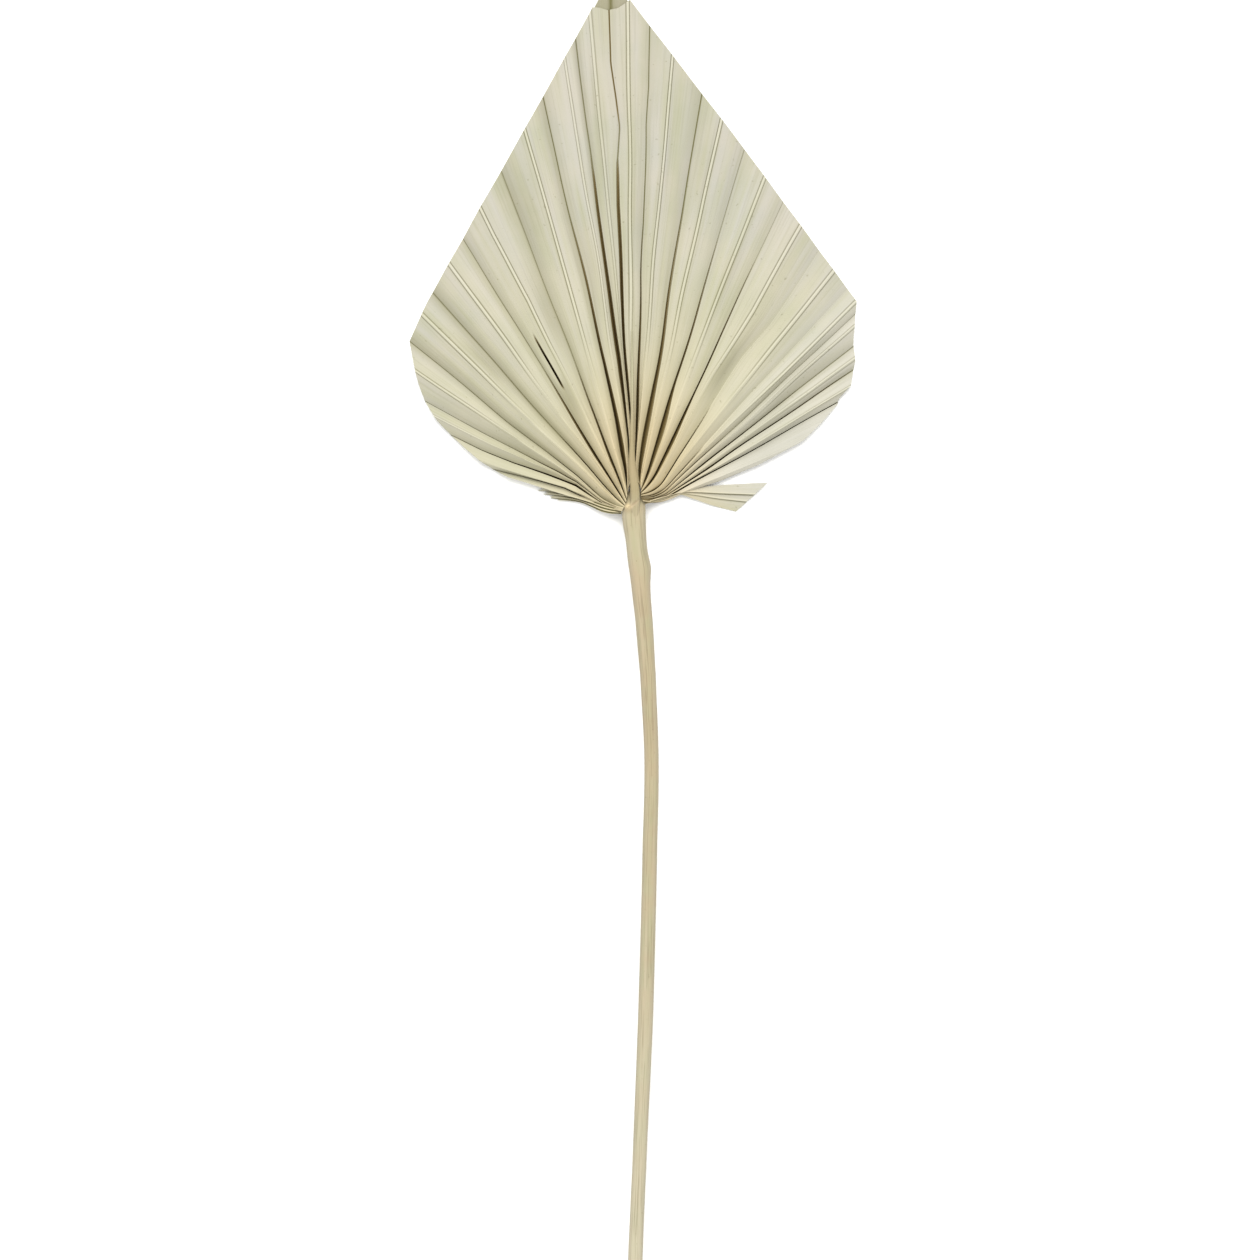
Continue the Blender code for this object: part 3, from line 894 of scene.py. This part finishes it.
stemFinish = {
    "straw": "a2997d",
    "olive": "979372",
    "rosy": "a08b70",
    "rosyShare": 0.5,
    "paleEnd": "b4ae96",
    "paleShare": 0.7,
    "paleReach": (-150.0, -300.0),
    "fibreDark": "5f5436",
    "veinShade": 0.38,
    "speckShade": 0.4,
    "flankShadeGrey": "908878",
    "flankShadeShare": 0.6,
    "headTan": "8e7f5b",
    "headShare": 0.7,
    "headReach": (-6.0, 4.0),
    "headFade": (56.0, 24.0),
    "costaPale": "a3a083",
    "costaShare": 0.85,
    "costaReach": (24.0, 56.0),
    "seamShare": 0.5,
    "knobCream": "c2b089",
    "knobShare": 0.9,
    "veinDensity": 1.3,
    "veinStretch": 0.03,
    "blotchSize": 0.014,              # in metres, as the bumps' depth is
    "roughness": 0.5,
    "grainRough": 0.3,
    "grainRelief": 0.3,
    "specular": 0.3,
    "bumpStrength": 0.45,
    "bumpDepth": 0.0004,
    "pith": "b4a57e",
    "pithDot": "7b633b",
    "pithDots": 1800.0,               # to the metre
    "pithBump": (0.5, 0.0003),
}


def stationAt(stations, y):
    # x of the middle, width, underside and top at this y
    for k in range(len(stations) - 1):
        low, high = stations[k][0], stations[k + 1][0]
        if y <= high or k == len(stations) - 2:
            share = (k + (y - low) / (high - low)) / (len(stations) - 1)
            return curveThrough(stations, share)[1:]


def rowsOf(bands):
    rows = []
    for (y0, count), (y1, _) in zip(bands, bands[1:]):
        rows += [y0 + (y1 - y0) * k / count for k in range(count)]
    return rows + [bands[-1][0]]


def ringEdges(ring):
    onRing = set(ring)
    return list({e for v in ring for e in v.link_edges if e.other_vert(v) in onRing})


def seamOffset(x, y):
    # how far a point is from the slanting seam under the knob
    return (y + 2.0) - 0.8 * x


def loftStem(bm, layers, stations, bands):
    # one closed tube through the stations, which returns the face at its first end
    rings = []
    knobX, knobY, knobSpread, knobHeight = stemShape["knob"]
    swellY, swellLength, swellHeight = stemShape["swelling"]
    squareSide, squareUp = stemShape["squareness"]
    isStalk = stations is stemShape["stations"]
    for number, y in enumerate(rowsOf(bands)):
        x, width, low, high = stationAt(stations, y)
        ring = bmesh.ops.create_circle(bm, segments=stemShape["sides"], radius=1.0)["verts"]
        for vert in ring:
            angle = math.atan2(vert.co.y, vert.co.x)
            side, up = math.cos(angle), math.sin(angle)
            side = math.copysign(abs(side) ** squareSide, side)
            up = math.copysign(abs(up) ** squareUp, up)
            if up > 0:
                up *= 0.8 - 0.05 * math.cos(angle * 2)      # the upper face is flatter
            ridges = 0.012 * math.sin(angle * 17 + y * 0.01) + 0.03 * wander(angle * 4, y * 0.02)
            side, up = side * (1 + ridges), up * (1 + ridges)
            place = Vector((x + side * width / 2, y, low + (up + 1) * (high - low) / 1.8))
            knot = 0.0
            if up > 0:
                reach = ((place.x - knobX) ** 2 + (y - knobY) ** 2) / knobSpread ** 2
                place.z += knobHeight * math.exp(-reach)
                vert[layers["knob"]] = math.exp(-reach)
                seam = math.exp(-((seamOffset(place.x, y) / 0.5) ** 2))
                place.z -= stemShape["seamDepth"] * seam * clamp(1.5 - abs(place.x) / 2.4)
            if side > 0.3 and isStalk:
                place.x += swellHeight * math.exp(-(((y - swellY) / swellLength) ** 2)) * side
            if number == 0 and isStalk:
                place.y += stemShape["cutSlant"] * (1 - side) * width / 2
            if up > 0:
                knot = math.exp(-((seamOffset(place.x, y) / 0.9) ** 2))
            vert.co = place
            vert[layers["across"]] = angle * 6.0
            vert[layers["along"]] = y
            # painted shade: greyer and darker on the flanks and the underside
            vert[layers["flankShade"]] = clamp(abs(side) * 1.6 - 0.75) if up > -0.2 else 0.6
            vert[layers["knot"]] = knot * clamp(1.5 - abs(place.x) / 2.4)
        rings.append(ring)
    for ring, following in zip(rings, rings[1:]):
        bmesh.ops.bridge_loops(bm, edges=ringEdges(ring) + ringEdges(following))
    bmesh.ops.contextual_create(bm, geom=ringEdges(rings[-1]))
    return bmesh.ops.contextual_create(bm, geom=ringEdges(rings[0]))["faces"]


def makeStem(finish, pith):
    bm = bmesh.new()
    names = ("across", "along", "flankShade", "knot", "knob")
    layers = {k: bm.verts.layers.float.new(k) for k in names}
    cut = loftStem(bm, layers, stemShape["stations"], stemShape["bands"])
    loftStem(bm, layers, stemShape["costa"], stemShape["costaBands"])
    rimWidth, rimDepth = stemShape["cutRim"]
    bmesh.ops.inset_region(bm, faces=cut, thickness=rimWidth, depth=rimDepth)
    for face in cut:
        face.material_index = 1
    finishPiece("stem_stalk", bm, [finish, pith], ["stem"], 50.0)


def stalkFinish(name, look):
    material, shader, make = startMaterial(name)
    run = sums(make)
    along, flankShade, knot, knob = fromMesh(make, ("along", "flankShade", "knot", "knob"))
    veins, dry = veinsAndBlotches(make, look)

    colour = blendColour(make, veins["Streak"], tint(look["olive"]), tint(look["straw"]))
    colour = layOver(make, colour, dry["Blotch"], look["rosyShare"], look["rosy"])
    lower = spread(make, along, *look["paleReach"])
    colour = layOver(make, colour, lower, look["paleShare"], look["paleEnd"])
    colour = layOver(make, colour, veins["Vein"], look["veinShade"], look["fibreDark"])
    # painted shade on the stem's flanks and underside
    colour = layOver(make, colour, flankShade, look["flankShadeShare"], look["flankShadeGrey"])
    head = run("MULTIPLY", spread(make, along, *look["headReach"]), look["headShare"])
    head = run("MULTIPLY", head, spread(make, along, *look["headFade"]))
    colour = blendColour(make, head, colour, tint(look["headTan"]))
    costa = spread(make, along, *look["costaReach"])
    colour = layOver(make, colour, costa, look["costaShare"], look["costaPale"])
    colour = layOver(make, colour, knot, look["seamShare"], look["rosy"])
    colour = layOver(make, colour, knob, look["knobShare"], look["knobCream"])
    colour = layOver(make, colour, dry["Speck"], look["speckShade"], look["fibreDark"])
    finishSurface(make, shader, colour, veins, dry, look)
    return material


def pithFinish(name, look):
    material, shader, make = startMaterial(name)
    dots = make("ShaderNodeTexVoronoi", {
        "Vector": make("ShaderNodeTexCoord").outputs["Object"], "Scale": look["pithDots"],
    }).outputs["Distance"]
    dot = spread(make, dots, 0.35, 0.15)
    colour = blendColour(make, dot, tint(look["pith"]), tint(look["pithDot"]))
    strength, depth = look["pithBump"]
    bump = make("ShaderNodeBump", {"Strength": strength, "Distance": depth, "Height": dots})
    links = shader.id_data.links
    links.new(colour, shader.inputs["Base Color"])
    links.new(bump.outputs["Normal"], shader.inputs["Normal"])
    shader.inputs["Roughness"].default_value = 0.85
    return material


bladePaper = paperFinish("leaf_blade_finish", bladeFinish)
makeBlade(bladePaper)
print("blade made")
makeStrip("torn_leaf_strip", tornStrip, bladePaper, ["torn_segment"])
makeStrip("frayed_leaf_strip", frayedStrip, bladePaper, ["frayed_segment"])
makeTipLayer(bladePaper)
print("strips made")
makeStem(stalkFinish("stem_stalk_finish", stemFinish), pithFinish("stem_cut_finish", stemFinish))
print("stem made")


studio = {
    "floorSize": 4.0,           # in metres, as the lamp's place and size are
    "floor": "fafaf8",
    "floorRoughness": 0.9,
    "floorSpecular": 0.1,
    "frameWidth": 504.0,        # width of the view at the leaf, in millimetres
    "viewCentre": (-1.2, -52.0),
    "leafHeight": 7.0,
    "lens": 110.0,
    "sensor": 36.0,
    "keyPlace": (-0.1, 1.15, 1.5),
    "keyAim": (0.0, 60.0, 0.0),     # on the leaf's plan
    "keySize": 1.5,
    "keyPower": 37.0,
    "skyColour": (1.0, 1.0, 1.0, 1.0),
    "sky": 1.15,
}


def makeStudio():
    bm = bmesh.new()
    bmesh.ops.create_grid(bm, x_segments=1, y_segments=1, size=studio["floorSize"] / 2)
    mesh = bpy.data.meshes.new("floor")
    bm.to_mesh(mesh)
    bm.free()
    floor = bpy.data.objects.new("floor", mesh)
    bpy.context.scene.collection.objects.link(floor)
    material, shader, _ = startMaterial("floor_finish")
    shader.inputs["Base Color"].default_value = tint(studio["floor"])
    shader.inputs["Roughness"].default_value = studio["floorRoughness"]
    shader.inputs["Specular IOR Level"].default_value = studio["floorSpecular"]
    mesh.materials.append(material)

    world = bpy.data.worlds.new("soft_sky")
    world.use_nodes = True
    sky = world.node_tree.nodes["Background"]
    sky.inputs["Color"].default_value = studio["skyColour"]
    sky.inputs["Strength"].default_value = studio["sky"]
    bpy.context.scene.world = world

    lamp = bpy.data.lights.new("key_panel", "AREA")
    lamp.shape = "SQUARE"
    lamp.size = studio["keySize"]
    lamp.energy = studio["keyPower"]
    key = bpy.data.objects.new("key_panel", lamp)
    key.location = studio["keyPlace"]
    aim = placing @ Vector(studio["keyAim"]) - key.location
    key.rotation_euler = aim.to_track_quat("-Z", "Y").to_euler()
    bpy.context.scene.collection.objects.link(key)


def makeCamera():
    data = bpy.data.cameras.new("camera")
    data.lens = studio["lens"]
    data.sensor_width = studio["sensor"]
    camera = bpy.data.objects.new("camera", data)
    distance = studio["frameWidth"] * studio["lens"] / data.sensor_width
    x, y = studio["viewCentre"]
    camera.location = placing @ Vector((x, y, studio["leafHeight"] + distance))
    bpy.context.scene.collection.objects.link(camera)
    bpy.context.scene.camera = camera


makeStudio()
makeCamera()
bpy.context.scene.view_settings.view_transform = "Standard"
print("studio ready")
